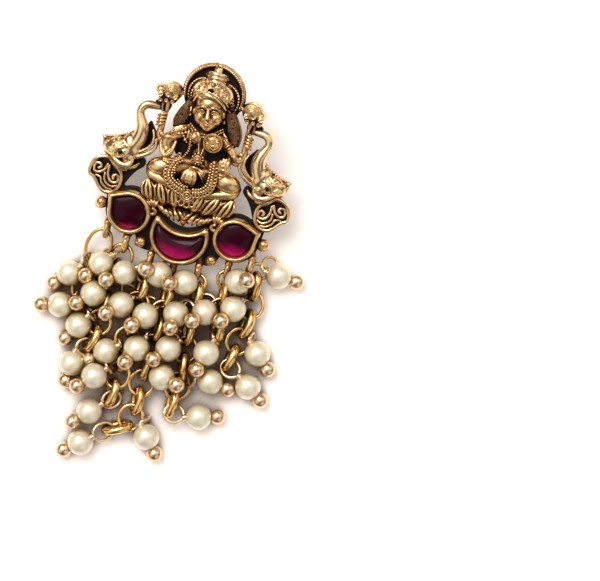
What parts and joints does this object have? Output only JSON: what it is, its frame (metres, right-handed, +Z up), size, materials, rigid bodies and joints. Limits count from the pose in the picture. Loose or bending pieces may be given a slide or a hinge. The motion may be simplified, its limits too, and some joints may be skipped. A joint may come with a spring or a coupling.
{
  "type": "chandbali earring",
  "caption": "Temple chandbali earring lying on its back: a cast plaque with seated figure, elephants and red stones over a crescent stone, with short chains of pearl drops.",
  "frame": {"origin": "middle of the footprint, on the surface the earring lies on", "axes": "+Y from the pearl cluster to the halo at the head, +X to the viewer's right, +Z up from the surface, out of the plaque's face"},
  "size_m": [0.0398, 0.066, 0.0128],
  "materials": {
    "antique_gold": "cast, antique gold plate with dark oxidised recesses",
    "chain_gold": "bright gold plated wire links",
    "post_metal": "plain gold plated post",
    "red_stone": "polished deep red cabochon with a pink glow",
    "pearl": "cream nacre lustre",
    "pin_metal": "pale rose gold polished head pins"
  },
  "bodies": {
    "root": {"plaque": "antique_gold", "stone_left": "red_stone", "stone_right": "red_stone", "stone_crescent": "red_stone", "ear_post": "post_metal", "strand_1": "chain_gold", "strand_2": "chain_gold", "strand_3": "chain_gold", "strand_4": "chain_gold", "strand_5": "chain_gold", "strand_6": "chain_gold", "strand_7": "chain_gold", "pearl_01": "pearl", "pearl_02": "pearl", "pearl_03": "pearl", "pearl_04": "pearl", "pearl_05": "pearl", "pearl_06": "pearl", "pearl_07": "pearl", "pearl_08": "pearl", "pearl_09": "pearl", "pearl_10": "pearl", "pearl_11": "pearl", "pearl_12": "pearl", "pearl_13": "pearl", "pearl_14": "pearl", "pearl_15": "pearl", "pearl_16": "pearl", "pearl_17": "pearl", "pearl_18": "pearl", "pearl_19": "pearl", "pearl_20": "pearl", "pearl_21": "pearl", "pearl_22": "pearl", "pearl_23": "pearl", "pearl_24": "pearl", "pearl_25": "pearl", "pearl_26": "pearl", "pearl_27": "pearl", "pearl_28": "pearl", "pearl_29": "pearl"}
  },
  "joints": []
}
